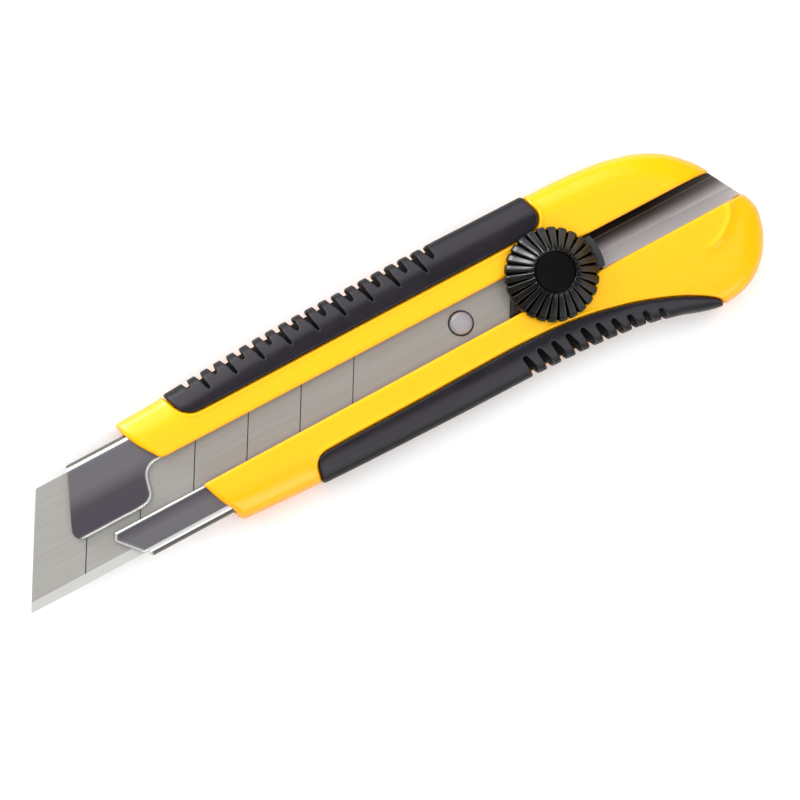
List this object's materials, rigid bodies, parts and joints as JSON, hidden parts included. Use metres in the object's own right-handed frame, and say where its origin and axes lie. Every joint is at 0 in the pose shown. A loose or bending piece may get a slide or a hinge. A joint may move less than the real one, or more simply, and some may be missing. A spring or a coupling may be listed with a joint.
{
  "type": "utility knife",
  "caption": "Heavy-duty snap-off utility knife: moulded handle with soft grips, steel blade channel, sliding segmented blade and a screw wheel that locks it.",
  "frame": {"origin": "On the flat back that the knife lies on, midway along its closed length and under the centre line of the blade and its channel.", "axes": "+X along the knife from the blade towards the butt; +Y across it, from the cutting edge towards the upper grip; +Z out of the front face, up the lock wheel's axis."},
  "size_m": [0.1965, 0.0462, 0.0224],
  "materials": {
    "yellow_abs": "glossy moulded ABS",
    "grip_rubber": "matt soft-touch elastomer",
    "channel_steel": "polished dark stainless sheet",
    "rivet_metal": "satin",
    "block_nylon": "black glass-filled nylon",
    "holder_steel": "zinc plated",
    "pin_steel": "satin turned steel",
    "spring_steel": "blued spring steel",
    "washer_nylon": "natural nylon",
    "wave_steel": "spring steel",
    "blade_steel": "fine ground carbon steel",
    "bolt_steel": "zinc plated",
    "plate_steel": "zinc plated",
    "clip_steel": "black oxide",
    "wheel_plastic": "glossy black",
    "insert_brass": "turned brass",
    "cap_plastic": "fine matt black"
  },
  "bodies": {
    "handle": {"handle_body": "yellow_abs", "upper_grip": "grip_rubber", "lower_grip": "grip_rubber", "blade_channel": "channel_steel", "channel_rivets": "rivet_metal"},
    "slider": {"slider_block": "block_nylon", "blade_holder": "holder_steel", "blade_pin": "pin_steel", "holder_rivets": "rivet_metal", "slider_spring": "spring_steel", "thrust_washer": "washer_nylon", "wave_washer": "wave_steel", "blade": "blade_steel"},
    "clamp": {"clamp_bolt": "bolt_steel", "clamp_plate": "plate_steel", "bolt_clip": "clip_steel"},
    "lock_wheel": {"lock_wheel": "wheel_plastic", "wheel_insert": "insert_brass", "wheel_cap": "cap_plastic"}
  },
  "joints": [
    {"name": "slider_slide", "type": "slide", "parent": "handle", "child": "slider", "axis": [1, 0, 0], "range_m": [-0.078, 0.028]},
    {"name": "wheel_turn", "type": "hinge", "parent": "slider", "child": "lock_wheel", "pos_m": [0.0369, 0, 0.0148], "axis": [0, 0, 1], "range_deg": [0, 180]},
    {"name": "clamp_drop", "type": "slide", "parent": "slider", "child": "clamp", "axis": [0, 0, -1], "range_m": [0, 0.0004]}
  ],
  "couplings": [
    {"joint": "wheel_turn", "follows": "clamp_drop", "rad_per_m": 7854}
  ]
}
